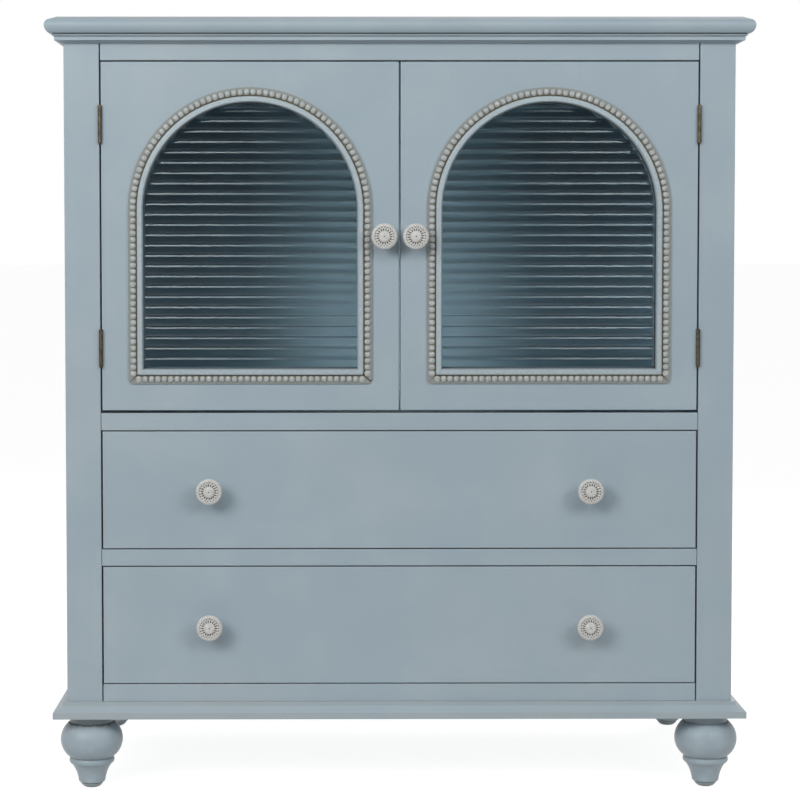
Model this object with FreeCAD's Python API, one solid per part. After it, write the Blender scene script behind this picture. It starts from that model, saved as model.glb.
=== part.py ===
"""Buffet with two arched reeded-glass doors over two drawers, standing on turned feet.

Millimetres. +Z is up, +X is right and the front faces -Y. The origin is on the floor, under the
middle of the whole cabinet, knobs included.
"""
import FreeCAD
import Part
import math
import os
from FreeCAD import Vector

# The case
case_width = 854.5
case_depth = 442.0
post_width = 45.0
post_depth = 45.0
rail_depth = 45.0
edge_round = 1.0

# Heights of the front, from the base upwards
base_thickness = 19.9
bottom_rail_height = 22.3
drawer_opening_height = 153.0
divider_rail_height = 21.3
sill_rail_height = 22.3
door_opening_height = 449.1
top_rail_height = 33.5
top_thickness = 21.0

# Top board and the moulding under it
top_overhang = 22.0
top_nose_height = 9.6
top_under_run = 5.1
top_under_bulge = 1.35
top_shoulder_run = 5.0
top_shoulder_rise = 7.6
top_shoulder_bulge = 1.36
top_bevel_run = 9.5
cornice_projection = 13.0
cornice_bead_height = 3.6
cornice_fillet_projection = 10.5
cornice_fillet_height = 5.2
cornice_cove_height = 3.2
cornice_cove_foot = 2.0
cornice_cove_hollow = 0.9
cornice_crease = 0.8

# Base board edge: a nose, a sloping weathering and a small step against the case
base_overhang = 17.0
base_nose_height = 8.2
base_step_projection = 5.0
base_step_height = 4.8

# Turned foot, as stacked heights and the radii where they meet
foot_inset = 45.2
rear_foot_inset = 41.0
foot_tip_radius = 8.0
foot_pad_radius = 14.6
foot_pad_height = 6.0
foot_pad_bulge = 1.0
foot_crease_depth = 1.2
foot_crease_height = 0.9
foot_toe_start_radius = 16.0
foot_toe_radius = 17.4
foot_toe_height = 3.6
foot_toe_bulge = 0.4
foot_taper_height = 22.4
foot_taper_hollow = 1.7
foot_ring_radius = 29.2
foot_ring_height = 7.5
foot_ring_round = 1.5
foot_ring_step = 1.0
foot_groove_depth = 2.0
foot_groove_height = 1.5
foot_ball_radius = 40.1
foot_ball_end_radius = 29.6
foot_ball_height = 44.0
foot_neck_radius = 28.0
foot_neck_height = 11.6
foot_bolt_radius = 4.0
foot_bolt_in_foot = 30.0
foot_bolt_in_base = 15.0
bolt_clearance = 0.1

# Joinery
tenon_length = 15.0
tenon_thickness = 18.0
tenon_setback = 10.0
tenon_shoulder = 4.0
outer_shoulder_gap = 1.4
inner_shoulder_gap = 0.4
side_panel_thickness = 15.0
side_panel_inset = 2.0
panel_groove_depth = 8.0
back_panel_thickness = 6.0
back_panel_inset = 8.0
rear_rail_depth = 20.0
floor_thickness = 15.0
floor_dado_depth = 6.0

# Drawers and what they run on
drawer_gap = 2.0
drawer_level_gap = 1.3
drawer_front_thickness = 20.0
drawer_rear_clearance = 39.0
drawer_side_thickness = 12.0
drawer_side_height = 120.0
drawer_lap = 8.0
drawer_back_thickness = 12.0
drawer_back_drop = 8.0
drawer_bottom_thickness = 6.0
drawer_bottom_height = 10.0
drawer_groove_depth = 6.0
drawer_knob_spacing = 486.0
runner_clearance = 0.3
runner_width = 48.5
runner_height = 18.0
guide_height = 15.0
guide_clearance = 0.5
stop_spacing = 400.0
stop_width = 40.0
stop_depth = 12.0
stop_height = 6.0
stop_clearance = 0.3

# Doors
door_thickness = 22.0
door_side_gap = 2.0
door_middle_gap = 2.0
door_top_gap = 1.6
door_bottom_gap = 3.5
door_frame_side = 34.0
door_frame_bottom = 34.0
door_frame_top = 32.4
door_knob_inset = 19.0

# Beaded moulding round the window: a lip, a groove and a row of beads
moulding_width = 19.4
lip_width = 8.4
lip_height = 5.0
lip_round = 2.0
groove_width = 1.6
groove_height = 0.8
bead_seat_height = 1.4
bead_pitch = 8.17
bead_radius = 3.85
bead_top_radius = 2.2
bead_height = 3.4
bead_sides = 6

# Reeded glass in its rebate, and the strips that hold it
glass_recess = 13.5
rebate_width = 9.0
glass_clearance = 0.5
glass_plate = 3.0
reed_pitch = 13.25
reed_height = 2.0
reed_rise = 1.3

# Butt hinges
hinge_length = 48.0
hinge_spacing = 285.0
hinge_axis_proud = 2.6
knuckle_radius = 2.5
knuckle_clearance = 0.25
hinge_pin_radius = 1.2
hinge_pin_clearance = 0.05
hinge_pin_head_radius = 2.0
hinge_pin_head_height = 0.6
leaf_thickness = 1.2
leaf_gap = 0.6
leaf_width = 17.0
hinge_screw_spacing = 30.0
hinge_screw_inset = 7.0
hinge_screw_radius = 1.4
hinge_screw_head_radius = 2.6
hinge_screw_length = 13.0
screw_clearance = 0.05

# Knobs and their screws
knob_radius = 16.7
knob_projection = 29.0
knob_foot_radius = 8.0
knob_foot_height = 2.5
knob_neck_radius = 5.5
knob_neck_height = 10.5
knob_rim_height = 8.0
knob_rim_round = 1.6
knob_dish_radius = 12.5
knob_dish_depth = 1.4
knob_boss_radius = 7.2
knob_boss_rise = 2.6
knob_screw_radius = 2.0
knob_screw_grip = 13.0
knob_screw_head_radius = 4.0
knob_screw_head_height = 2.4

# Magnetic catches behind the top rail
catch_length = 40.0
catch_depth = 18.0
catch_height = 12.0
catch_inset = 40.0
catch_pole_height = 0.5
catch_pole_width = 3.0
strike_thickness = 1.0
strike_length = 38.0
strike_height = 10.0
strike_drop = 4.0
catch_clearance = 0.3

# Levels worked out from the sizes above
foot_toe_top = foot_pad_height + foot_toe_height
foot_ring_bottom = foot_toe_top + foot_taper_height
foot_groove_bottom = foot_ring_bottom + foot_ring_height
foot_ball_bottom = foot_groove_bottom + foot_groove_height
foot_ball_top = foot_ball_bottom + foot_ball_height
base_bottom = foot_ball_top + foot_neck_height
case_bottom = base_bottom + base_thickness
lower_drawer_level = case_bottom + bottom_rail_height
divider_level = lower_drawer_level + drawer_opening_height
upper_drawer_level = divider_level + divider_rail_height
sill_rail_level = upper_drawer_level + drawer_opening_height
door_level = sill_rail_level + sill_rail_height
top_rail_level = door_level + door_opening_height
case_top = top_rail_level + top_rail_height
overall_top = case_top + top_thickness
drawer_pitch = drawer_opening_height + divider_rail_height

# Planes worked out from the sizes above
front_reach = max(knob_projection, top_overhang, base_overhang)
face_y = (front_reach - case_depth) / 2
back_y = face_y + case_depth
post_back_y = face_y + post_depth
rear_post_y = back_y - post_depth
back_panel_y = back_y - back_panel_inset - back_panel_thickness
drawer_depth = back_panel_y - drawer_rear_clearance - face_y
half_case = case_width / 2
half_opening = half_case - post_width
panel_outside = half_case - side_panel_inset
panel_inside = panel_outside - side_panel_thickness

# The left door, from which the right one is mirrored
door_outer_x = -half_opening + door_side_gap
door_inner_x = -door_middle_gap / 2
door_bottom = door_level + door_bottom_gap
door_top = top_rail_level - door_top_gap
door_middle_x = (door_outer_x + door_inner_x) / 2
door_middle_z = (door_bottom + door_top) / 2
window_radius = (door_inner_x - door_outer_x) / 2 - door_frame_side - moulding_width
window_sill = door_bottom + door_frame_bottom + moulding_width
window_spring = door_top - door_frame_top - moulding_width - window_radius
hinge_x = -half_opening + door_side_gap / 2
hinge_y = face_y - hinge_axis_proud
hinge_levels = [door_middle_z - hinge_spacing / 2, door_middle_z + hinge_spacing / 2]
door_knob_place = (door_inner_x - door_knob_inset, door_middle_z)
glass_depth = glass_plate + reed_height


def block(x0, x1, y0, y1, z0, z1):
    """A box between two corners."""
    return Part.makeBox(x1 - x0, y1 - y0, z1 - z0, Vector(x0, y0, z0))


def flat_face(place, start, steps):
    """A flat face from a start point and steps: two numbers draw a line, four an arc by way of the first two."""
    edges = []
    here = place(*start)
    for step in steps + [start]:
        there = place(*step[-2:])
        if (there - here).Length < 1e-6:
            continue
        if len(step) == 4:
            edges.append(Part.Arc(here, place(*step[:2]), there).toShape())
        else:
            edges.append(Part.LineSegment(here, there).toShape())
        here = there
    return Part.Face(Part.Wire(edges))


def arc(start, end, bulge):
    """An arc step that stands off the chord from start to end by the bulge, on its right-hand side."""
    run, rise = end[0] - start[0], end[1] - start[1]
    length = math.hypot(run, rise)
    middle = ((start[0] + end[0]) / 2 + bulge * rise / length, (start[1] + end[1]) / 2 - bulge * run / length)
    return middle + end


def quarter(start, end, side=1):
    """A quarter-circle step from start to end, bulging to the right, or to the left where side is -1."""
    chord = math.dist(start, end)
    return arc(start, end, side * chord * (math.sqrt(2) - 1) / 2)


def mirrored(shape):
    """The same piece on the other side of the middle plane."""
    return shape.mirror(Vector(0, 0, 0), Vector(1, 0, 0))


def front_rounded(shape, radius):
    """The shape with the edges of its front plane rounded."""
    edges = [e for e in shape.Edges if all(abs(v.Y - face_y) < 1e-6 for v in e.Vertexes)]
    return shape.makeFillet(radius, edges)


def rod(radius, start, end):
    """A round bar between two points."""
    return Part.makeCylinder(radius, (end - start).Length, start, end - start)


def turned(place, axis_point, axis, start, steps):
    """A solid turned about an axis from half of its section."""
    return flat_face(place, start, steps).revolve(axis_point, axis, 360)


# Boards with a worked edge on the front and on both ends

def edged_board(bottom, overhang, nose):
    """A board over the whole case, with the nose section worked on its front and ends, square at the back."""
    reach = half_case + overhang
    top = nose[-1][-1]

    def along_front(out, up):
        return Vector(-reach, face_y - out, up)

    def along_ends(out, up):
        return Vector(half_case + out, face_y - overhang, up)

    front = flat_face(along_front, (-case_depth, bottom), nose + [(-case_depth, top)])
    half_ends = flat_face(along_ends, (-half_case, bottom), nose + [(-half_case, top)])
    long_way = front.extrude(Vector(2 * reach, 0, 0))
    right_half = half_ends.extrude(Vector(0, overhang + case_depth, 0))
    return long_way.common(right_half.fuse(mirrored(right_half))).removeSplitter()


def make_top_board():
    under = (top_overhang - top_under_run, case_top)
    widest = (top_overhang, case_top + top_nose_height)
    shoulder = (top_overhang - top_shoulder_run, widest[1] + top_shoulder_rise)
    nose = [
        under,
        arc(under, widest, top_under_bulge),
        arc(widest, shoulder, top_shoulder_bulge),
        (shoulder[0] - top_bevel_run, overall_top),
    ]
    return edged_board(case_top, top_overhang, nose)


def foot_places():
    front_x = half_case + base_overhang - foot_inset
    rear_x = half_case + base_overhang - rear_foot_inset
    front = face_y - base_overhang + foot_inset
    rear = back_y - rear_foot_inset
    return {
        "front_left": Vector(-front_x, front, 0),
        "front_right": Vector(front_x, front, 0),
        "rear_left": Vector(-rear_x, rear, 0),
        "rear_right": Vector(rear_x, rear, 0),
    }


def make_base_board():
    step_bottom = case_bottom - base_step_height
    nose_top = base_bottom + base_nose_height
    nose = [
        (base_overhang, base_bottom),
        (base_overhang, nose_top),
        (base_step_projection, step_bottom),
        (base_step_projection, case_bottom),
    ]
    board = edged_board(base_bottom, base_overhang, nose)
    for place in foot_places().values():
        start = place + Vector(0, 0, base_bottom)
        end = start + Vector(0, 0, foot_bolt_in_base)
        board = board.cut(rod(foot_bolt_radius + bolt_clearance, start, end))
    return board


def cornice_section(place):
    bead_foot = case_top - cornice_bead_height
    fillet_foot = bead_foot - cornice_fillet_height
    cove_foot = fillet_foot - cornice_cove_height
    bead_round = (cornice_bead_height - cornice_crease) / 2
    bead_start = (cornice_projection - bead_round, case_top - cornice_crease)
    bead_end = (cornice_projection - bead_round, bead_foot)
    cove_start = (cornice_fillet_projection, fillet_foot)
    cove_end = (cornice_cove_foot, cove_foot)
    return flat_face(place, (0, case_top), [
        (cornice_projection - bead_round, case_top),
        bead_start,
        arc(bead_start, bead_end, -bead_round),
        (cornice_fillet_projection - cornice_crease, bead_foot),
        (cornice_fillet_projection - cornice_crease, bead_foot - cornice_crease),
        (cornice_fillet_projection, bead_foot - cornice_crease),
        cove_start,
        arc(cove_start, cove_end, cornice_cove_hollow),
        (0, cove_foot),
    ])


def plan_prism(corners):
    """An upright prism over the height of the moulding, to cut the mitres."""
    bottom = case_top - cornice_bead_height - cornice_fillet_height - cornice_cove_height
    start, rest = corners[0], corners[1:]
    face = flat_face(lambda x, y: Vector(x, y, bottom), start, rest)
    return face.extrude(Vector(0, 0, case_top - bottom))


def make_front_cornice():
    reach = half_case + cornice_projection
    strip = cornice_section(lambda out, up: Vector(-reach, face_y - out, up)).extrude(Vector(2 * reach, 0, 0))
    front_y = face_y - cornice_projection
    return strip.common(plan_prism([(-reach, front_y), (reach, front_y), (half_case, face_y), (-half_case, face_y)]))


def make_left_cornice():
    reach = half_case + cornice_projection
    front_y = face_y - cornice_projection
    strip = cornice_section(lambda out, up: Vector(-half_case - out, front_y, up))
    strip = strip.extrude(Vector(0, back_y - front_y, 0))
    return strip.common(plan_prism([(-reach, front_y), (-half_case, face_y), (-half_case, back_y), (-reach, back_y)]))


# Turned feet

def make_foot(place):
    ring_edge = foot_ring_radius - foot_ring_round
    groove_radius = foot_ball_end_radius - foot_groove_depth
    tip = (foot_tip_radius, 0)
    pad = (foot_pad_radius, foot_pad_height)
    crease_radius = foot_pad_radius - foot_crease_depth
    crease_top = foot_pad_height + foot_crease_height
    toe_start = (foot_toe_start_radius, crease_top)
    toe = (foot_toe_radius, foot_toe_top)
    taper_top = (ring_edge - foot_ring_step, foot_ring_bottom)
    ring_low = (ring_edge, foot_ring_bottom)
    ring_high = (ring_edge, foot_groove_bottom)
    ball_low = (foot_ball_end_radius, foot_ball_bottom)
    ball_high = (foot_ball_end_radius, foot_ball_top)
    section = [
        tip,
        arc(tip, pad, foot_pad_bulge),
        (crease_radius, foot_pad_height),
        (crease_radius, crease_top),
        toe_start,
        arc(toe_start, toe, foot_toe_bulge),
        arc(toe, taper_top, -foot_taper_hollow),
        ring_low,
        arc(ring_low, ring_high, foot_ring_round),
        (groove_radius, foot_groove_bottom),
        (groove_radius, foot_ball_bottom),
        ball_low,
        arc(ball_low, ball_high, foot_ball_radius - foot_ball_end_radius),
        (foot_neck_radius, foot_ball_top),
        (foot_neck_radius, base_bottom),
        (0, base_bottom),
    ]
    foot = turned(lambda r, z: Vector(r, 0, z), Vector(0, 0, 0), Vector(0, 0, 1), (0, 0), section)
    top = Vector(0, 0, base_bottom)
    foot = foot.cut(rod(foot_bolt_radius + bolt_clearance, top - Vector(0, 0, foot_bolt_in_foot), top))
    return foot.translated(place)


def make_foot_bolts():
    bolts = []
    for place in foot_places().values():
        joint = place + Vector(0, 0, base_bottom)
        bolts.append(rod(foot_bolt_radius, joint - Vector(0, 0, foot_bolt_in_foot),
                         joint + Vector(0, 0, foot_bolt_in_base)))
    return Part.Compound(bolts)


# Posts, rails and panels of the case

def front_rails():
    """Each front rail: its lower and upper level, and the gap at its shoulders."""
    return {
        "bottom_front_rail": (case_bottom, lower_drawer_level, outer_shoulder_gap),
        "drawer_divider_rail": (divider_level, upper_drawer_level, inner_shoulder_gap),
        "door_sill_rail": (sill_rail_level, door_level, inner_shoulder_gap),
        "top_front_rail": (top_rail_level, case_top, outer_shoulder_gap),
    }


def front_tenon(bottom, top):
    reach = half_opening + tenon_length
    tenon_y = face_y + tenon_setback
    return block(-reach, reach, tenon_y, tenon_y + tenon_thickness, bottom + tenon_shoulder, top - tenon_shoulder)


def rear_rail_tenon():
    reach = half_opening + tenon_length
    front = back_panel_y - rear_rail_depth + tenon_shoulder
    return block(-reach, reach, front, back_panel_y - tenon_shoulder,
                 top_rail_level + tenon_shoulder, case_top - tenon_shoulder)


def make_front_rail(bottom, top, shoulder_gap):
    reach = half_opening - shoulder_gap
    rail = front_rounded(block(-reach, reach, face_y, face_y + rail_depth, bottom, top), edge_round)
    return rail.fuse(front_tenon(bottom, top)).removeSplitter()


def make_top_rear_rail():
    rail = block(-half_opening, half_opening, back_panel_y - rear_rail_depth, back_panel_y, top_rail_level, case_top)
    return rail.fuse(rear_rail_tenon()).removeSplitter()


def side_panel_blank():
    return block(-panel_outside, -panel_inside, post_back_y - panel_groove_depth,
                 rear_post_y + panel_groove_depth, case_bottom, case_top)


def back_panel_blank():
    reach = half_opening + panel_groove_depth
    return block(-reach, reach, back_panel_y, back_panel_y + back_panel_thickness, case_bottom, case_top)


def upright_rounded(shape, corners):
    """The shape with its upright edges at the given (x, y) corners rounded."""
    edges = []
    for edge in shape.Edges:
        middle = edge.CenterOfMass
        if any(abs(middle.x - x) < 1e-6 and abs(middle.y - y) < 1e-6 for x, y in corners):
            edges.append(edge)
    return shape.makeFillet(edge_round, edges)


def make_left_front_post():
    post = block(-half_case, -half_opening, face_y, post_back_y, case_bottom, case_top)
    post = upright_rounded(post, [(-half_case, face_y), (-half_opening, face_y)])
    for bottom, top, _ in front_rails().values():
        post = post.cut(front_tenon(bottom, top))
    post = post.cut(side_panel_blank())
    for level in hinge_levels:
        post = post.cut(frame_leaf_plate(level))
        for start, end in hinge_screw_lines(level, -1):
            post = post.cut(rod(hinge_screw_radius + screw_clearance, start, end))
    return post


def make_left_rear_post():
    post = block(-half_case, -half_opening, rear_post_y, back_y, case_bottom, case_top)
    post = upright_rounded(post, [(-half_case, back_y), (-half_opening, back_y)])
    return post.cut(side_panel_blank()).cut(back_panel_blank()).cut(rear_rail_tenon())


def floor_blank():
    reach = panel_inside + floor_dado_depth
    level = door_level - floor_thickness
    front = block(-reach, reach, face_y + rail_depth, rear_post_y, level, door_level)
    rear = block(-half_opening, half_opening, rear_post_y, back_panel_y, level, door_level)
    return front.fuse(rear).removeSplitter()


def make_left_side_panel():
    return side_panel_blank().cut(floor_blank())


def make_drawer_runners():
    side_face = half_opening - drawer_gap
    runners = []
    for level in (lower_drawer_level, upper_drawer_level):
        section = flat_face(lambda x, z: Vector(x, face_y + rail_depth, z), (-panel_inside, level - runner_height), [
            (-panel_inside + runner_width, level - runner_height),
            (-panel_inside + runner_width, level),
            (-side_face - guide_clearance, level),
            (-side_face - guide_clearance, level + guide_height),
            (-panel_inside, level + guide_height),
        ])
        runner = section.extrude(Vector(0, rear_post_y - face_y - rail_depth, 0))
        runners += [runner, mirrored(runner)]
    return Part.Compound(runners)


def make_drawer_stops():
    front = face_y + drawer_front_thickness + stop_clearance
    stops = []
    for level in (lower_drawer_level, upper_drawer_level):
        for middle in (-stop_spacing / 2, stop_spacing / 2):
            stops.append(block(middle - stop_width / 2, middle + stop_width / 2, front, front + stop_depth,
                               level, level + stop_height))
    return Part.Compound(stops)


# Knobs and their screws

def make_knob(x, z):
    rim_edge = knob_radius - knob_rim_round
    rim_front = knob_projection - knob_boss_rise + knob_dish_depth
    rim_low = (rim_edge, rim_front - knob_rim_height)
    rim_high = (rim_edge, rim_front)
    cove_start = (knob_foot_radius, knob_foot_height)
    cove_end = (knob_neck_radius, knob_foot_height + knob_foot_radius - knob_neck_radius)
    boss_edge = (knob_boss_radius, knob_projection - knob_boss_rise)
    boss_top = (0, knob_projection)
    dome_radius = (knob_boss_radius ** 2 + knob_boss_rise ** 2) / (2 * knob_boss_rise)
    dome_bulge = dome_radius - math.sqrt(dome_radius ** 2 - math.dist(boss_edge, boss_top) ** 2 / 4)
    section = [
        (knob_foot_radius, 0),
        cove_start,
        quarter(cove_start, cove_end, -1),
        (knob_neck_radius, knob_neck_height),
        rim_low,
        arc(rim_low, rim_high, knob_rim_round),
        (knob_dish_radius, knob_projection - knob_boss_rise),
        boss_edge,
        arc(boss_edge, boss_top, dome_bulge),
    ]
    knob = turned(lambda r, out: Vector(r, -out, 0), Vector(0, 0, 0), Vector(0, 1, 0), (0, 0), section)
    knob = knob.cut(rod(knob_screw_radius + screw_clearance, Vector(0, 0, 0), Vector(0, -knob_screw_grip, 0)))
    return knob.translated(Vector(x, face_y, z))


def make_knob_screw(x, z, thickness):
    seat = Vector(x, face_y + thickness, z)
    shank = rod(knob_screw_radius, Vector(x, face_y - knob_screw_grip, z), seat)
    head = rod(knob_screw_head_radius, seat, seat + Vector(0, knob_screw_head_height, 0))
    return shank.fuse(head).removeSplitter()


def knob_hole(x, z, thickness):
    return rod(knob_screw_radius + screw_clearance, Vector(x, face_y, z), Vector(x, face_y + thickness, z))


# Butt hinges of the left door

def knuckle_spans(level):
    """The z spans of the frame's two knuckles and the door's one between them."""
    bottom = level - hinge_length / 2
    third = hinge_length / 3
    low = (bottom, bottom + third - knuckle_clearance)
    middle = (bottom + third, bottom + 2 * third)
    high = (bottom + 2 * third + knuckle_clearance, bottom + hinge_length)
    return [low, high], [middle]


def barrel(radius, span):
    return rod(radius, Vector(hinge_x, hinge_y, span[0]), Vector(hinge_x, hinge_y, span[1]))


def frame_leaf_plate(level):
    outer = hinge_x - leaf_gap / 2
    return block(outer - leaf_thickness, outer, hinge_y, face_y + leaf_width,
                 level - hinge_length / 2, level + hinge_length / 2)


def door_leaf_plate(level):
    inner = hinge_x + leaf_gap / 2
    return block(inner, inner + leaf_thickness, hinge_y, face_y + leaf_width,
                 level - hinge_length / 2, level + hinge_length / 2)


def hinge_screw_lines(level, side):
    """Start at the leaf's open face and end of each screw: side -1 goes into the post, +1 into the door."""
    lines = []
    for z in (level - hinge_screw_spacing / 2, level + hinge_screw_spacing / 2):
        start = Vector(hinge_x + side * leaf_gap / 2, face_y + leaf_width - hinge_screw_inset, z)
        lines.append((start, start + Vector(side * hinge_screw_length, 0, 0)))
    return lines


def screw_head(start, end, slack):
    way = (end - start).normalize()
    return Part.makeCone(hinge_screw_head_radius + slack, hinge_screw_radius + slack, leaf_thickness, start, way)


def make_leaf(plate, own_spans, other_spans, screw_lines):
    leaf = plate
    for span in other_spans:
        room = (span[0] - knuckle_clearance, span[1] + knuckle_clearance)
        leaf = leaf.cut(barrel(knuckle_radius + knuckle_clearance, room))
    for span in own_spans:
        leaf = leaf.fuse(barrel(knuckle_radius, span))
    for span in own_spans:
        leaf = leaf.cut(barrel(hinge_pin_radius + hinge_pin_clearance, span))
    for start, end in screw_lines:
        leaf = leaf.cut(screw_head(start, end, screw_clearance))
    return leaf.removeSplitter()


def make_frame_leaf(level):
    frame_spans, door_spans = knuckle_spans(level)
    return make_leaf(frame_leaf_plate(level), frame_spans, door_spans, hinge_screw_lines(level, -1))


def make_door_leaf(level):
    frame_spans, door_spans = knuckle_spans(level)
    return make_leaf(door_leaf_plate(level), door_spans, frame_spans, hinge_screw_lines(level, 1))


def make_hinge_pin(level):
    top = level + hinge_length / 2
    shaft = barrel(hinge_pin_radius, (level - hinge_length / 2, top))
    head = barrel(hinge_pin_head_radius, (top, top + hinge_pin_head_height))
    return shaft.fuse(head).removeSplitter()


def make_hinge_screws(side):
    screws = []
    for level in hinge_levels:
        for start, end in hinge_screw_lines(level, side):
            screws.append(rod(hinge_screw_radius, start, end).fuse(screw_head(start, end, 0)).removeSplitter())
    return screws


# The left door

def arch_prism(offset, front, back):
    """The window's arched outline, grown by an offset, between two depths behind the face."""
    radius = window_radius + offset
    left, right = door_middle_x - radius, door_middle_x + radius
    low = window_sill - offset
    face = flat_face(lambda x, z: Vector(x, face_y + front, z), (left, low), [
        (left, window_spring),
        (door_middle_x, window_spring + radius, right, window_spring),
        (right, low),
    ])
    return face.extrude(Vector(0, back - front, 0))


def make_door_panel():
    panel = block(door_outer_x, door_inner_x, face_y, face_y + door_thickness, door_bottom, door_top)
    panel = front_rounded(panel, edge_round)
    panel = panel.cut(arch_prism(0, 0, door_thickness))
    panel = panel.cut(arch_prism(rebate_width, glass_recess, door_thickness))
    panel = panel.cut(knob_hole(*door_knob_place, door_thickness))
    for level in hinge_levels:
        panel = panel.cut(door_leaf_plate(level))
        for start, end in hinge_screw_lines(level, 1):
            panel = panel.cut(rod(hinge_screw_radius + screw_clearance, start, end))
    return panel


def make_door_glass():
    margin = rebate_width - glass_clearance
    crest = face_y + glass_recess
    cusp = crest + reed_height
    back = crest + glass_depth
    reach = window_radius + margin
    bottom = window_sill - reed_pitch + reed_rise
    count = math.ceil((window_spring + reach - bottom) / reed_pitch)
    reeds = []
    for index in range(count):
        low = bottom + index * reed_pitch
        reeds.append((crest, low + reed_pitch / 2, cusp, low + reed_pitch))
    top = bottom + count * reed_pitch
    section = flat_face(lambda y, z: Vector(door_middle_x - reach, y, z), (back, bottom),
                        [(cusp, bottom)] + reeds + [(back, top)])
    sheet = section.extrude(Vector(2 * reach, 0, 0))
    return sheet.common(arch_prism(margin, glass_recess, glass_recess + glass_depth))


def make_glazing_strips():
    front = glass_recess + glass_depth
    ring = arch_prism(rebate_width, front, door_thickness).cut(arch_prism(0, front, door_thickness))
    reach = window_radius + rebate_width
    sill_room = block(door_middle_x - reach, door_middle_x + reach, face_y + front, face_y + door_thickness,
                      window_sill - rebate_width, window_sill)
    return Part.Compound([ring.cut(sill_room), ring.common(sill_room)])


def moulding_section(place):
    inner_start = (0, lip_height - lip_round)
    inner_end = (lip_round, lip_height)
    outer_start = (lip_width - lip_round, lip_height)
    outer_end = (lip_width, lip_height - lip_round)
    return flat_face(place, (0, 0), [
        inner_start,
        quarter(inner_start, inner_end, -1),
        outer_start,
        quarter(outer_start, outer_end, -1),
        (lip_width, groove_height),
        (lip_width + groove_width, groove_height),
        (lip_width + groove_width, bead_seat_height),
        (moulding_width, bead_seat_height),
        (moulding_width, 0),
    ])


def bead_at(x, z, turn):
    """One bead of the row as a faceted dome, set a little into its seat."""
    rings = []
    for radius, out in ((bead_radius, bead_seat_height / 2), (bead_top_radius, bead_seat_height + bead_height)):
        corners = []
        for index in range(bead_sides + 1):
            angle = turn + 2 * math.pi * index / bead_sides
            corners.append(Vector(x + radius * math.cos(angle), face_y - out, z + radius * math.sin(angle)))
        rings.append(Part.makePolygon(corners))
    return Part.makeLoft(rings, True, True)


def arch_beads():
    """Beads up one side, over the arch and down the other, evenly spaced."""
    offset = (lip_width + groove_width + moulding_width) / 2
    radius = window_radius + offset
    leg = window_spring - window_sill + offset
    bend = math.pi * radius
    length = 2 * leg + bend
    count = round(length / bead_pitch)
    beads = []
    for index in range(count):
        along = (index + 0.5) * length / count
        if along < leg:
            beads.append(bead_at(door_middle_x - radius, window_spring - leg + along, math.pi / 2))
        elif along < leg + bend:
            angle = math.pi - (along - leg) / radius
            x = door_middle_x + radius * math.cos(angle)
            z = window_spring + radius * math.sin(angle)
            beads.append(bead_at(x, z, angle + math.pi / 2))
        else:
            beads.append(bead_at(door_middle_x + radius, window_spring - along + leg + bend, math.pi / 2))
    return beads


def sill_beads():
    offset = (lip_width + groove_width + moulding_width) / 2
    length = 2 * (window_radius + offset)
    count = round(length / bead_pitch)
    beads = []
    for index in range(count):
        x = door_middle_x - length / 2 + (index + 0.5) * length / count
        beads.append(bead_at(x, window_sill - offset, 0))
    return beads


def make_door_beading():
    """The arched length and the sill length of the beaded moulding, mitred together at the lower corners."""
    left, right = door_middle_x - window_radius, door_middle_x + window_radius
    low = window_sill - moulding_width
    mitre = flat_face(lambda x, z: Vector(x, face_y, z), (left, window_sill), [
        (right, window_sill),
        (right + moulding_width, low),
        (left - moulding_width, low),
    ]).extrude(Vector(0, -lip_height - bead_height, 0))
    section = moulding_section(lambda u, out: Vector(right + u, face_y - out, window_spring))
    down = Vector(0, 0, low - window_spring)
    centre = Vector(door_middle_x, face_y, window_spring)
    bend = section.revolve(centre, Vector(0, -1, 0), 180)
    right_leg = section.extrude(down)
    left_leg = right_leg.mirror(centre, Vector(1, 0, 0))
    arch = bend.multiFuse([right_leg, left_leg] + arch_beads()).removeSplitter().cut(mitre)
    sill_section = moulding_section(lambda u, out: Vector(left - moulding_width, face_y - out, window_sill - u))
    sill = sill_section.extrude(Vector(2 * (window_radius + moulding_width), 0, 0))
    sill = sill.multiFuse(sill_beads()).removeSplitter().common(mitre)
    return Part.Compound([arch, sill])


def catch_middle():
    return door_inner_x - catch_inset


def make_left_catch():
    front = face_y + door_thickness + strike_thickness + catch_clearance
    middle = catch_middle()
    body = block(middle - catch_length / 2, middle + catch_length / 2, front + catch_pole_height, front + catch_depth,
                 top_rail_level - catch_height, top_rail_level)
    for x in (middle - catch_length / 4, middle + catch_length / 4):
        pole = block(x - catch_pole_width / 2, x + catch_pole_width / 2, front, front + catch_depth / 2,
                     top_rail_level - catch_height + strike_thickness, top_rail_level - strike_thickness)
        body = body.fuse(pole)
    return body.removeSplitter()


def make_strike_plate():
    middle = catch_middle()
    back = face_y + door_thickness
    top = door_top - strike_drop
    plate = block(middle - strike_length / 2, middle + strike_length / 2, back, back + strike_thickness,
                  top - strike_height, top)
    upright = [e for e in plate.Edges if abs(e.Length - strike_thickness) < 1e-6]
    return plate.makeFillet(strike_height / 4, upright)


def left_door_nodes():
    leaves = [make_door_leaf(level) for level in hinge_levels]
    screws = make_hinge_screws(1) + [make_knob_screw(*door_knob_place, door_thickness)]
    return {
        "door_panel": make_door_panel(),
        "door_glass": make_door_glass(),
        "door_glazing_strips": make_glazing_strips(),
        "door_beading": make_door_beading(),
        "door_knob": make_knob(*door_knob_place),
        "door_hinge_leaves": Part.Compound(leaves),
        "door_screws": Part.Compound(screws),
        "door_strike_plate": make_strike_plate(),
    }


# The lower drawer, from which the upper one is copied

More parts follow.
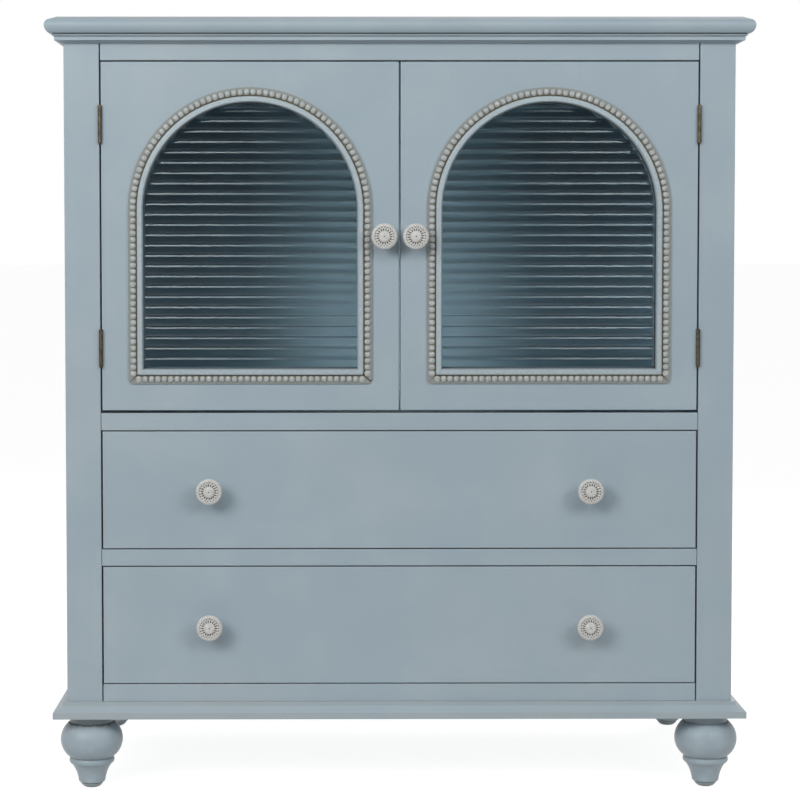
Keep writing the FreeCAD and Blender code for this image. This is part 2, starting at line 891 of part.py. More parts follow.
def drawer_bottom_blank():
    reach = half_opening - drawer_gap - drawer_side_thickness + drawer_groove_depth
    level = lower_drawer_level + runner_clearance + drawer_bottom_height
    front = face_y + drawer_front_thickness - drawer_groove_depth
    return block(-reach, reach, front, face_y + drawer_depth, level, level + drawer_bottom_thickness)


def drawer_side_blank():
    outside = half_opening - drawer_gap
    bottom = lower_drawer_level + runner_clearance
    return block(-outside, -outside + drawer_side_thickness, face_y + drawer_front_thickness - drawer_lap,
                 face_y + drawer_depth, bottom, bottom + drawer_side_height)


def drawer_knob_places():
    z = lower_drawer_level + drawer_opening_height / 2
    return [(-drawer_knob_spacing / 2, z), (drawer_knob_spacing / 2, z)]


def make_drawer_front():
    reach = half_opening - drawer_gap
    front = block(-reach, reach, face_y, face_y + drawer_front_thickness,
                  lower_drawer_level + drawer_level_gap,
                  lower_drawer_level + drawer_opening_height - drawer_level_gap)
    front = front_rounded(front, edge_round)
    side = drawer_side_blank()
    front = front.cut(side).cut(mirrored(side)).cut(drawer_bottom_blank())
    for x, z in drawer_knob_places():
        front = front.cut(knob_hole(x, z, drawer_front_thickness))
    return front


def make_drawer_sides():
    left = drawer_side_blank().cut(drawer_bottom_blank())
    return Part.Compound([left, mirrored(left)])


def make_drawer_back():
    inside = half_opening - drawer_gap - drawer_side_thickness
    bottom = lower_drawer_level + runner_clearance + drawer_bottom_height + drawer_bottom_thickness
    top = lower_drawer_level + runner_clearance + drawer_side_height - drawer_back_drop
    back = face_y + drawer_depth
    return block(-inside, inside, back - drawer_back_thickness, back, bottom, top)


def lower_drawer_nodes():
    places = drawer_knob_places()
    return {
        "drawer_front": make_drawer_front(),
        "drawer_sides": make_drawer_sides(),
        "drawer_back": make_drawer_back(),
        "drawer_bottom": drawer_bottom_blank(),
        "drawer_knobs": Part.Compound([make_knob(x, z) for x, z in places]),
        "drawer_knob_screws": Part.Compound([make_knob_screw(x, z, drawer_front_thickness) for x, z in places]),
    }


# Every node of the cabinet by name

def case_nodes():
    nodes = {
        "top_board": make_top_board(),
        "base_board": make_base_board(),
        "front_cornice_moulding": make_front_cornice(),
        "top_rear_rail": make_top_rear_rail(),
        "back_panel": back_panel_blank(),
        "cupboard_floor": floor_blank(),
        "drawer_runners": make_drawer_runners(),
        "drawer_stops": make_drawer_stops(),
        "foot_bolts": make_foot_bolts(),
    }
    for name, place in foot_places().items():
        nodes[name + "_foot"] = make_foot(place)
    for name, (bottom, top, shoulder_gap) in front_rails().items():
        nodes[name] = make_front_rail(bottom, top, shoulder_gap)
    pairs = {
        "front_post": make_left_front_post(),
        "rear_post": make_left_rear_post(),
        "side_panel": make_left_side_panel(),
        "cornice_moulding": make_left_cornice(),
    }
    for name, shape in pairs.items():
        nodes["left_" + name] = shape
        nodes["right_" + name] = mirrored(shape)
    groups = {
        "frame_hinge_leaves": [make_frame_leaf(level) for level in hinge_levels],
        "frame_hinge_screws": make_hinge_screws(-1),
        "hinge_pins": [make_hinge_pin(level) for level in hinge_levels],
        "door_catches": [make_left_catch()],
    }
    for name, left in groups.items():
        nodes[name] = Part.Compound(left + [mirrored(shape) for shape in left])
    return nodes


def all_nodes():
    nodes = case_nodes()
    for name, shape in left_door_nodes().items():
        nodes["left_" + name] = shape
        nodes["right_" + name] = mirrored(shape)
    for name, shape in lower_drawer_nodes().items():
        nodes["lower_" + name] = shape
        nodes["upper_" + name] = shape.translated(Vector(0, 0, drawer_pitch))
    return nodes


os.makedirs("parts", exist_ok=True)
for node_name, node_shape in all_nodes().items():
    node_shape.exportStep("parts/" + node_name + ".step")
    print(node_name, len(node_shape.Solids), "solids", round(node_shape.Volume), "cubic mm", node_shape.isValid())
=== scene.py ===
# %% [markdown]
# # A painted buffet with arched reeded-glass doors
# The buffet is a painted case on turned feet, with two glazed doors over two drawers. Its solids come
# ready made and fixed in place, so this lesson dresses them: paint, glaze, glass and brass. Only two
# kinds of piece are built anew, the beaded mouldings and the carved knobs, because both carry detail
# that is too fine for the solids. Everything is in metres and sits where the solids say.

# %% Load the solids
import math
import random

import bmesh
import bpy
from mathutils import Matrix, Vector


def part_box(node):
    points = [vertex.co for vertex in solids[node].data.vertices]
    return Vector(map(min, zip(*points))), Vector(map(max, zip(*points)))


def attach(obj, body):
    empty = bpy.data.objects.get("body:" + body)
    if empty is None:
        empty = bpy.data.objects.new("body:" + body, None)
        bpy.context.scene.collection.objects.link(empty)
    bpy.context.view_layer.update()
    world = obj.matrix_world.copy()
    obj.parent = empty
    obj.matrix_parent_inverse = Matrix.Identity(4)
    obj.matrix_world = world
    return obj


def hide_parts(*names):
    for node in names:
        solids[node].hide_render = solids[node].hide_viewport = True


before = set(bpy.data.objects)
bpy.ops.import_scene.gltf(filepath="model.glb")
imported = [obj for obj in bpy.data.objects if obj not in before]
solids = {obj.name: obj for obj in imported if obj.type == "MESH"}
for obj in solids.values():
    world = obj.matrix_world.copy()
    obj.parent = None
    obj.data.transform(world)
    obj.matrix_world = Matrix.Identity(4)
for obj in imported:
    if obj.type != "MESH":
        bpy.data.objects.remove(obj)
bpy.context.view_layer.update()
MM = 0.001

# %% [markdown]
# ## Colours and nodes
# Paint colours are read off as sRGB, which is how screens show them, but a shader works in linear
# light. One function turns a hex value into linear numbers. A second adds one node to a material,
# with its settings and its links, so that each finish below reads as a short list.

# %% A colour from its hex value, and one node with its links
def colour(hex_code):
    """The linear colour of an sRGB hex value."""
    channels = []
    for start in (0, 2, 4):
        value = int(hex_code[start:start + 2], 16) / 255
        linear = value / 12.92 if value <= 0.04045 else ((value + 0.055) / 1.055) ** 2.4
        channels.append(linear)
    return (*channels, 1.0)


def add(tree, kind, links=None, **settings):
    """Adds a shader node; settings are its properties or socket values, links feed its sockets."""
    node = tree.nodes.new("ShaderNode" + kind)
    for name, value in settings.items():
        socket = name.replace("_", " ")
        if hasattr(node, name):
            setattr(node, name, value)
        else:
            node.inputs[socket].default_value = value
    for socket, source in (links or {}).items():
        tree.links.new(source, node.inputs[socket])
    return node


def new_finish(name, **settings):
    """An empty material with one shader, its fixed numbers set on the shader's own sockets."""
    material = bpy.data.materials.new(name)
    material.use_nodes = True
    shader = material.node_tree.nodes["Principled BSDF"]
    for socket, value in settings.items():
        shader.inputs[socket.replace("_", " ")].default_value = value
    return material, material.node_tree, shader


def stops(ramp, *places):
    """Sets a colour ramp's stops from (position, colour) pairs."""
    elements = ramp.color_ramp.elements
    while len(elements) < len(places):
        elements.new(0.5)
    for element, (position, shade) in zip(elements, places):
        element.position = position
        element.color = shade


print("paint, linear:", [round(v, 3) for v in colour("9EABB3")])

# %% [markdown]
# ## Blue-grey furniture paint
# The case, doors and drawer fronts carry a satin furniture paint, brushed or sprayed thinly over wood
# and rubbed with a thin brown wax, which stays in the corners. A flat colour would look like plastic.
# So the colour drifts a little in broad clouds, and fine strokes run along each board. The brown in the
# corners is found by how closed in a place is, which needs no camera, so it is both wax and painted
# shade. Each board gets the strokes of its own direction. Strokes are about 2.5 mm wide and 180 mm
# long, clouds about 90 mm.
#
# Some boards differ. The corners of the top and the base are painted paler instead, which is painted
# light against their shade. The base is painted paler where it faces up, a painted top light, and old
# polish warms its front edge. Inside the cupboard, painted light and shade on the inner faces stand in
# for the light through the glass: lighter in the middle, darker further out and lighter again at the sides.

# %% Painted wood, for each direction of the brush
STROKE_WIDTH = 2.5 * MM
STROKE_LENGTH = 180 * MM
CLOUD_SIZE = 90 * MM
WAX_AND_SHADE_REACH = 7 * MM
BROWN_WAX_AND_SHADE = "605C4F"
PAINTED_CORNER_LIGHT = "CDD3D5"
PAINTED_TOP_LIGHT = "BEC8CD"
OLD_POLISH = "A69F92"
# Painted light and shade on inner faces: the factor on the paint at distances in metres to either side of the
# cabinet's middle.
INSIDE_LIGHT_AND_SHADE = ((0.09, "FCFEFE"), (0.21, "A4B1B8"), (0.29, "A4B1B8"), (0.4, "C6D1D6"))
# A face counts as an inner one where its normal times its place, both seen from above, is under a
# limit, and so level faces do too. The cabinet is too small for any face to be under the first limit.
NOWHERE, ON_INNER_FACES = -1.0, 0.01


def painted_wood(
    name, along, inside_light_limit=NOWHERE, worn=0.0, polish=0.0, corner=BROWN_WAX_AND_SHADE, corner_left=0.35
):
    """Satin blue-grey paint with strokes along the x, y or z axis, and brown wax with painted shade, or pale
    painted light, in the corners. Inner faces get painted light and shade, what faces up is painted paler
    as a painted top light, and old polish warms what faces the front."""
    paint, tree, shader = new_finish(name, IOR=1.48)
    place = add(tree, "TexCoord").outputs["Object"]
    stroke_scale = [1 / STROKE_LENGTH if axis == along else 1 / STROKE_WIDTH for axis in "xyz"]
    stretched = add(tree, "Mapping", {"Vector": place}, Scale=stroke_scale).outputs[0]
    strokes = add(tree, "TexNoise", {"Vector": stretched}, Scale=1.0, Detail=3.0, Roughness=0.6)
    clouds = add(tree, "TexNoise", {"Vector": place}, Scale=1 / CLOUD_SIZE, Detail=4.0, Roughness=0.55)
    drift = add(
        tree, "TexNoise", {"Vector": place}, noise_dimensions="4D", Scale=0.4 / CLOUD_SIZE, Detail=2.0, W=3.0
    )
    tone = add(tree, "Mix", {"A": clouds.outputs[0], "B": strokes.outputs[0]}, Factor=0.14)
    shades = add(tree, "ValToRGB", {0: tone.outputs[0]})
    stops(shades, (0.36, colour("99A7B0")), (0.52, colour("9DAAB2")), (0.66, colour("A2AEB5")))
    tint = add(tree, "ValToRGB", {0: drift.outputs[0]})
    stops(tint, (0.38, colour("98A9B4")), (0.62, colour("A3ABAF")))
    tinted = add(tree, "Mix", {6: shades.outputs[0], 7: tint.outputs[0]}, data_type="RGBA", Factor=0.24)
    # The brown wax is laid where a place is closed in, so it is painted shade there too; a pale corner colour
    # paints light there instead.
    closed = add(tree, "AmbientOcclusion", samples=6, Distance=WAX_AND_SHADE_REACH).outputs["AO"]
    wax_and_shade = add(tree, "MapRange", {"Value": closed}, From_Min=0.6, From_Max=0.2, To_Max=corner_left)
    waxed_and_shaded = add(tree, "Mix", {0: wax_and_shade.outputs[0], 6: tinted.outputs[2]}, data_type="RGBA")
    waxed_and_shaded.inputs[7].default_value = colour(corner)
    normal = add(tree, "TexCoord").outputs["Normal"]
    facing = add(tree, "SeparateXYZ", {0: normal})
    parts = add(tree, "SeparateXYZ", {0: place})
    level = add(tree, "CombineXYZ", {"X": parts.outputs["X"], "Y": parts.outputs["Y"]})
    outward = add(tree, "VectorMath", {0: normal, 1: level.outputs[0]}, operation="DOT_PRODUCT")
    inner = add(tree, "Math", {0: outward.outputs["Value"]}, operation="LESS_THAN")
    inner.inputs[1].default_value = inside_light_limit
    # Inner faces are painted lighter or darker by their distance from the middle, as painted light and shade.
    aside = add(tree, "Math", {0: parts.outputs["X"]}, operation="ABSOLUTE")
    inside_light = add(tree, "ValToRGB", {0: aside.outputs[0]})
    stops(inside_light, *[(distance, colour(shade)) for distance, shade in INSIDE_LIGHT_AND_SHADE])
    inside_light_mix = {0: inner.outputs[0], 6: waxed_and_shaded.outputs[2], 7: inside_light.outputs[0]}
    inside_lit = add(tree, "Mix", inside_light_mix, data_type="RGBA", blend_type="MULTIPLY")
    # Faces that look up are painted paler by the amount worn, a painted top light.
    top_light = add(tree, "MapRange", {"Value": facing.outputs["Z"]}, From_Min=0.2, From_Max=0.7, To_Max=worn)
    top_lit = add(tree, "Mix", {0: top_light.outputs[0], 6: inside_lit.outputs[2]}, data_type="RGBA")
    top_lit.inputs[7].default_value = colour(PAINTED_TOP_LIGHT)
    front = facing.outputs["Y"]
    forward = add(tree, "MapRange", {"Value": front}, From_Min=-0.85, From_Max=-0.98, To_Max=polish)
    polished = add(tree, "Mix", {0: forward.outputs[0], 6: top_lit.outputs[2]}, data_type="RGBA")
    polished.inputs[7].default_value = colour(OLD_POLISH)
    tree.links.new(polished.outputs[2], shader.inputs["Base Color"])
    gloss = add(tree, "MapRange", {"Value": strokes.outputs[0]}, To_Min=0.36, To_Max=0.5)
    tree.links.new(gloss.outputs[0], shader.inputs["Roughness"])
    relief = add(tree, "Bump", {"Height": strokes.outputs[0]}, Strength=0.1, Distance=0.05 * MM)
    tree.links.new(relief.outputs[0], shader.inputs["Normal"])
    return paint


paint_across = painted_wood("satin_paint_brushed_across", "x")
# Pale paint in the corners of the top and the bottom rail is painted light against their shade.
paint_on_top = painted_wood("satin_paint_with_painted_corner_light_on_top", "x", corner=PAINTED_CORNER_LIGHT, corner_left=0.7)
paint_on_cornice = painted_wood("satin_paint_waxed_and_shaded_on_cornice", "x", corner_left=0.45)
paint_upright = painted_wood("satin_paint_brushed_upright", "z")
paint_front_to_back = painted_wood("satin_paint_brushed_front_to_back", "y", corner_left=0.45)
# The base is painted paler where it faces up, a painted top light, and paler in its corners, painted light.
paint_on_base = painted_wood(
    "satin_paint_with_painted_light_on_base", "x", worn=0.2, polish=0.16, corner=PAINTED_CORNER_LIGHT, corner_left=0.4
)
# Inside, painted light and shade stand in for the light that comes through the glass.
paint_inside = painted_wood("satin_paint_with_painted_light_and_shade_inside", "x", inside_light_limit=ON_INNER_FACES)
paint_on_sides = painted_wood("satin_paint_with_painted_shade_on_inner_face", "z", inside_light_limit=ON_INNER_FACES)
print("paints across:", paint_across.name, paint_on_top.name, paint_on_cornice.name, paint_on_base.name)
print("other paints:", paint_upright.name, paint_front_to_back.name, paint_inside.name, paint_on_sides.name)

# %% [markdown]
# Each board of the case now takes the paint whose strokes run along it. A node keeps its own mesh:
# only its material slot changes.

# %% Paint the boards
def finish(material, *names):
    """Puts a material on solids, through their objects' slots."""
    for name in names:
        for slot in solids[name].material_slots:
            slot.material = material


finish(
    paint_across,
    "top_front_rail", "door_sill_rail", "drawer_divider_rail",
    "upper_drawer_front", "lower_drawer_front",
)
finish(
    paint_upright,
    "left_front_post", "right_front_post", "left_rear_post", "right_rear_post",
    "left_door_panel", "right_door_panel", "left_door_glazing_strips", "right_door_glazing_strips",
)
finish(paint_on_sides, "left_side_panel", "right_side_panel")
finish(paint_inside, "cupboard_floor", "back_panel", "top_rear_rail")
finish(paint_on_top, "top_board", "bottom_front_rail")
finish(paint_on_cornice, "front_cornice_moulding")
finish(paint_on_base, "base_board")
finish(paint_front_to_back, "left_cornice_moulding", "right_cornice_moulding")
finishes = [solid.material_slots[0].material.name for solid in solids.values()]
print("painted boards:", sum(name.startswith(("satin", "inside_light_limit")) for name in finishes))

# %% [markdown]
# ## Turned feet
# The feet are turned from solid wood and painted with the case. A dark ring round the top of the ball,
# where the base shades it, is painted shadow with brown wax in it. The groove over the ring and other
# closed corners take the same brown, as wax and painted shade. Heights on the foot are known, so the ring
# follows them, broken up by noise into runs and wipes. The ring is stronger on the left feet than on the
# right.

# %% Paint for the feet, with rings of painted shadow and wax at known heights
RING_SPAN = 100 * MM
RUN_WANDER = 1.2 * MM
# The painted shadow and wax at heights up the foot, as shares of the span above.
SHADOW_AND_WAX_RINGS = ((0.78, 0.0), (0.835, 0.16), (0.851, 0.85), (0.868, 0.3))


def foot_paint():
    paint, tree, shader = new_finish("satin_paint_on_turned_foot", IOR=1.48)
    place = add(tree, "TexCoord").outputs["Object"]
    parts = add(tree, "SeparateXYZ", {0: place})
    clouds = add(tree, "TexNoise", {"Vector": place}, Scale=1 / (30 * MM), Detail=4.0, Roughness=0.6)
    shades = add(tree, "ValToRGB", {0: clouds.outputs[0]})
    stops(shades, (0.35, colour("95A3AB")), (0.65, colour("A2AEB5")))
    runs_scale = (1 / (6 * MM), 1 / (6 * MM), 1 / (40 * MM))
    runs_place = add(tree, "Mapping", {"Vector": place}, Scale=runs_scale).outputs[0]
    runs = add(tree, "TexNoise", {"Vector": runs_place}, Scale=1.0, Detail=2.0)
    wander = add(tree, "MapRange", {"Value": runs.outputs[0]}, From_Min=0.3, From_Max=0.7)
    wander.inputs["To Min"].default_value = -RUN_WANDER
    wander.inputs["To Max"].default_value = RUN_WANDER
    height = add(tree, "Math", {0: parts.outputs["Z"], 1: wander.outputs[0]}, operation="ADD")
    climb = add(tree, "MapRange", {"Value": height.outputs[0]}, From_Max=RING_SPAN)
    rings = add(tree, "ValToRGB", {0: climb.outputs[0]})
    rings.color_ramp.interpolation = "EASE"
    stops(rings, *[(share, (wax_and_shade, wax_and_shade, wax_and_shade, 1)) for share, wax_and_shade in SHADOW_AND_WAX_RINGS])
    # The painted shadow ring is strongest on the left feet and fades towards the right.
    share = add(tree, "MapRange", {"Value": parts.outputs["X"]}, From_Min=-0.3, From_Max=0.3)
    share.inputs["To Min"].default_value = 1.0
    share.inputs["To Max"].default_value = 0.35
    left = add(tree, "Math", {0: rings.outputs[0], 1: share.outputs[0]}, operation="MULTIPLY")
    # Closed corners, such as the groove over the ring, take the brown as painted shade and wax.
    closed = add(tree, "AmbientOcclusion", samples=6, Distance=WAX_AND_SHADE_REACH)
    corners = add(tree, "MapRange", {"Value": closed.outputs["AO"]}, From_Min=0.7, From_Max=0.25, To_Max=0.7)
    wax_and_shade = add(tree, "Math", {0: left.outputs[0], 1: corners.outputs[0]}, operation="MAXIMUM")
    waxed_and_shaded = add(tree, "Mix", {0: wax_and_shade.outputs[0], 6: shades.outputs[0]}, data_type="RGBA")
    waxed_and_shaded.inputs[7].default_value = colour("5A5B50")
    tree.links.new(waxed_and_shaded.outputs[2], shader.inputs["Base Color"])
    gloss = add(tree, "MapRange", {"Value": clouds.outputs[0]}, To_Min=0.34, To_Max=0.5)
    tree.links.new(gloss.outputs[0], shader.inputs["Roughness"])
    return paint


feet = [name for name in solids if name.endswith("_foot")]
finish(foot_paint(), *feet)
print("feet:", feet)

# %% [markdown]
# ## Bare timber inside the drawers
# Drawer sides, backs, runners and stops are planed pine, left bare: pale straw with darker growth
# lines about 4 mm apart that wander along the board. Noise drawn out along the board gives the lines,
# and broader noise bends them. The drawer bottoms are birch plywood, whose peeled face has broader,
# fainter figure.

# %% Planed pine and birch plywood
def bare_timber(name, along, line_gap, pale, dark, contrast):
    """Planed wood with growth lines along an axis, a given distance apart."""
    timber, tree, shader = new_finish(name, Roughness=0.62, IOR=1.5)
    place = add(tree, "TexCoord").outputs["Object"]
    stretch = [0.04 if axis == along else 1.0 for axis in "xyz"]
    board = add(tree, "Mapping", {"Vector": place}, Scale=stretch).outputs[0]
    wander = add(tree, "TexNoise", {"Vector": board}, Scale=1 / (70 * MM), Detail=2.0)
    bent = add(tree, "Mix", {4: board, 5: wander.outputs["Color"]}, data_type="VECTOR", Factor=0.035)
    lines = add(tree, "TexNoise", {"Vector": bent.outputs[1]}, Scale=1 / line_gap, Detail=4.0, Roughness=0.65)
    shades = add(tree, "ValToRGB", {0: lines.outputs[0]})
    stops(shades, (0.5 - contrast, colour(dark)), (0.5 + contrast, colour(pale)))
    tree.links.new(shades.outputs[0], shader.inputs["Base Color"])
    relief = add(tree, "Bump", {"Height": lines.outputs[0]}, Strength=0.3, Distance=0.1 * MM)
    tree.links.new(relief.outputs[0], shader.inputs["Normal"])
    return timber


pine_across = bare_timber("planed_pine_across", "x", 4 * MM, "DCC194", "B98F5C", 0.22)
pine_lengthways = bare_timber("planed_pine_front_to_back", "y", 4 * MM, "DCC194", "B98F5C", 0.22)
birch_ply = bare_timber("peeled_birch_plywood", "x", 9 * MM, "DCC7A0", "C7A877", 0.3)
finish(pine_across, "upper_drawer_back", "lower_drawer_back", "drawer_stops")
finish(pine_lengthways, "upper_drawer_sides", "lower_drawer_sides", "drawer_runners")
finish(birch_ply, "upper_drawer_bottom", "lower_drawer_bottom")
print("timbers:", pine_across.name, pine_lengthways.name, birch_ply.name)

# %% [markdown]
# ## Reeded glass
# The windows hold rolled glass with level reeds, each a shallow lens about 13 mm high that is already
# in the solid. Glass has an IOR of 1.52, and the roller leaves it a little softer than polished glass,
# so its mirror lines have soft edges. The back mirrors too little to show, so only the reeded front
# mirrors the room. Light has to reach the cupboard through the panes, as it does through real glass,
# so they cast no shadow.

# %% Rolled reeded glass
GLASS_IOR = 1.52
ROLLED_ROUGHNESS = 0.1
PALE_BLUE = "E0EDF1"


def reeded_glass():
    glass, tree, shader = new_finish(
        "rolled_reeded_glass", IOR=GLASS_IOR, Transmission_Weight=1.0, Roughness=ROLLED_ROUGHNESS
    )
    shader.inputs["Base Color"].default_value = colour(PALE_BLUE)
    through = add(tree, "BsdfRefraction", IOR=GLASS_IOR, Roughness=ROLLED_ROUGHNESS, Color=colour(PALE_BLUE))
    inside = add(tree, "NewGeometry").outputs["Backfacing"]
    pane = add(tree, "MixShader", {0: inside, 1: shader.outputs[0], 2: through.outputs[0]})
    tree.links.new(pane.outputs[0], tree.nodes["Material Output"].inputs["Surface"])
    return glass


finish(reeded_glass(), "left_door_glass", "right_door_glass")
for pane in ("left_door_glass", "right_door_glass"):
    solids[pane].visible_shadow = False

# %% [markdown]
# ## Brass, steel and catch plastic
# The butt hinges are antique brass: rolled brass toned brown with a chemical patina and rubbed back on
# the barrels, and so are their pins. Screws, bolts and strike plates are zinc-plated steel, grey and
# slightly clouded. The catches behind the top rail are moulded ABS with a fine spark-eroded grain,
# drawn at 0.6 mm so that it shows.

# %% Hinges, screws and catches
def clouded(name, low, high, spot, metallic, rough_low, rough_high):
    """A finish that drifts between two colours in spots of a given size, with its gloss drifting too."""
    material, tree, shader = new_finish(name, Metallic=metallic)
    place = add(tree, "TexCoord").outputs["Object"]
    spots = add(tree, "TexNoise", {"Vector": place}, Scale=1 / spot, Detail=4.0, Roughness=0.65)
    shades = add(tree, "ValToRGB", {0: spots.outputs[0]})
    stops(shades, (0.36, colour(low)), (0.62, colour(high)))
    tree.links.new(shades.outputs[0], shader.inputs["Base Color"])
    gloss = add(tree, "MapRange", {"Value": spots.outputs[0]}, To_Min=rough_high, To_Max=rough_low)
    tree.links.new(gloss.outputs[0], shader.inputs["Roughness"])
    relief = add(tree, "Bump", {"Height": spots.outputs[0]}, Strength=0.25, Distance=0.08 * MM)
    tree.links.new(relief.outputs[0], shader.inputs["Normal"])
    return material


antique_brass = clouded("antique_brass_rubbed_back", "524B40", "786E5D", 5 * MM, 1.0, 0.38, 0.58)
zinc_steel = clouded("zinc_plated_steel", "9A9DA1", "C6C9CC", 6 * MM, 1.0, 0.28, 0.42)
catch_abs = clouded("moulded_abs_brown", "2B2522", "332C28", 0.6 * MM, 0.0, 0.45, 0.6)
finish(
    antique_brass,
    "frame_hinge_leaves", "left_door_hinge_leaves", "right_door_hinge_leaves", "hinge_pins",
)
finish(
    zinc_steel,
    "frame_hinge_screws", "left_door_screws", "right_door_screws", "left_door_strike_plate",
    "right_door_strike_plate", "foot_bolts", "upper_drawer_knob_screws",
    "lower_drawer_knob_screws",
)
finish(catch_abs, "door_catches")
print("metals:", antique_brass.name, zinc_steel.name)

# %% [markdown]
# ## The beaded mouldings
# Round each window runs a planted moulding: a rounded lip at the sight edge, a narrow groove and a row
# of small beads. It could be a swept curve with an array of beads, but arrays are hard to fit to an
# arch and two mitres. So the section is swept by hand along the legs, the arch and the sill, and each
# bead is a pillow set at an even pitch, worn flat at the mitres. The mitres have opened a little, with a
# dark strip in each crack as painted shadow, the outer corners are rubbed off, and a line of grey putty,
# dark as painted shade, lies at the foot of the glass. Every vertex stores how deep it lies, so the glaze
# and the painted shade know where to stay. The window is read back from the solid of the moulding.

# %% The window's outline, from the solid
SIGHT_SETBACK = 0.3 * MM
LIP_WIDTH = 8.2 * MM
LIP_HEIGHT = 5.0 * MM
LIP_ROUND = 2.4 * MM
LIP_CHAMFER = 1.6 * MM
LIP_DROP = 2.6 * MM
GROOVE_WIDTH = 0.9 * MM
GROOVE_HEIGHT = 1.2 * MM
SEAT_HEIGHT = 1.8 * MM
MOULDING_WIDTH = 19.4 * MM
BEAD_PITCH = 8.17 * MM
BEAD_OFFSET = 13.2 * MM
BEAD_ALONG = 3.95 * MM
BEAD_ACROSS = 4.25 * MM
BEAD_RISE = 3.2 * MM
BEAD_SQUARENESS = 2.25
WORN_RISE = 0.45
MITRE_FIT = 0.1 * MM
MITRE_CRACKS = {"left": (0.8 * MM, 1.7 * MM), "right": (0.4 * MM, 0.7 * MM)}
MITRE_START = 0.84
CRACK_SHADOW_HEIGHT = 0.3 * MM
CORNER_CUT = 3.5 * MM
PUTTY_HEIGHT = 1.7 * MM
PUTTY_DEPTH = 2.0 * MM
ARCH_STEPS = 96


def window_of(side):
    """Sight lines of a window and the face it stands on, from the box of its moulding."""
    low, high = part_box(side + "_door_beading")
    left, right = low.x + MOULDING_WIDTH, high.x - MOULDING_WIDTH
    radius = (right - left) / 2
    return {
        "middle": (left + right) / 2,
        "radius": radius,
        "sill": low.z + MOULDING_WIDTH,
        "spring": high.z - MOULDING_WIDTH - radius,
        "face": high.y,
        "cracks": MITRE_CRACKS[side],
    }


print("left window:", {key: window_of("left")[key] for key in ("middle", "radius", "sill", "spring")})

# %% The section of the moulding
def moulding_section():
    """Points of the section as (distance from the sight line, height off the door, depth of glaze and painted
    shade).
    """
    section = [(SIGHT_SETBACK, 0.0, 1.0)]
    for step in range(4):
        rise = step / 3
        height = LIP_HEIGHT - LIP_DROP * (1 - rise)
        section.append((SIGHT_SETBACK + LIP_CHAMFER * rise, height, 0.3 * (1 - rise)))
    for step in range(7):
        turn = math.radians(90 - 15 * step)
        out = LIP_WIDTH - LIP_ROUND + LIP_ROUND * math.cos(turn)
        height = LIP_HEIGHT - LIP_ROUND + LIP_ROUND * math.sin(turn)
        section.append((out, height, 0.45 * (step / 6) ** 2))
    section.append((LIP_WIDTH, GROOVE_HEIGHT, 1.0))
    section.append((LIP_WIDTH + GROOVE_WIDTH, GROOVE_HEIGHT, 1.0))
    seat = MOULDING_WIDTH - LIP_WIDTH - GROOVE_WIDTH
    for share, depth in ((0.0, 1.0), (0.2, 0.75), (0.75, 0.56), (0.82, 0.56), (1.0, 0.56)):
        section.append((LIP_WIDTH + GROOVE_WIDTH + share * seat, SEAT_HEIGHT, depth))
    section.append((MOULDING_WIDTH, 0.0, 0.8))
    return section


print("section points:", len(moulding_section()))

# %% Sweep the section and set the beads
def sweep(mesh, glaze_and_shade, rings, section, window, place_ring):
    """Skins rings of the section; place_ring gives the x and z of a section point on a ring."""
    rows = []
    for ring in rings:
        row = []
        for out, up, depth in section:
            x, z = place_ring(ring, out)
            vertex = mesh.verts.new((x, window["face"] - up, z))
            vertex[glaze_and_shade] = depth
            row.append(vertex)
        rows.append(row)
    for row, after in zip(rows, rows[1:]):
        for index in range(len(section) - 1):
            mesh.faces.new((row[index], row[index + 1], after[index + 1], after[index]))
    for row in (rows[0], rows[-1]):
        mesh.faces.new(row)


def worn_corner(out):
    """How far a line of the section runs towards the outer corner, which is rubbed off at an angle."""
    return min(out, 2 * MOULDING_WIDTH - CORNER_CUT - out)


def arch_rings(window):
    """Stations up the right leg, round the arch and down the left leg."""
    legs = 14
    height = window["spring"] - window["sill"]
    right = [("right", step / legs) for step in range(legs)]
    bend = [("bend", math.pi * step / ARCH_STEPS) for step in range(ARCH_STEPS + 1)]
    left = [("left", step / legs) for step in reversed(range(legs))]

    def place(ring, out):
        kind, share = ring
        reach = window["radius"] + out
        if kind == "bend":
            return window["middle"] + reach * math.cos(share), window["spring"] + reach * math.sin(share)
        side = 1 if kind == "right" else -1
        crack = window["cracks"][1 if kind == "right" else 0]
        foot = window["sill"] - worn_corner(out) + (crack if out > LIP_WIDTH - LIP_ROUND / 2 else MITRE_FIT)
        return window["middle"] + side * reach, foot + (window["spring"] - foot) * share

    return right + bend + left, place


def sill_rings(window):
    """Stations along the sill from the left mitre to the right one."""
    count = 24

    def place(ring, out):
        reach = window["radius"] + worn_corner(out) - MITRE_FIT
        return window["middle"] + reach * (2 * ring / count - 1), window["sill"] - out

    return list(range(count + 1)), place


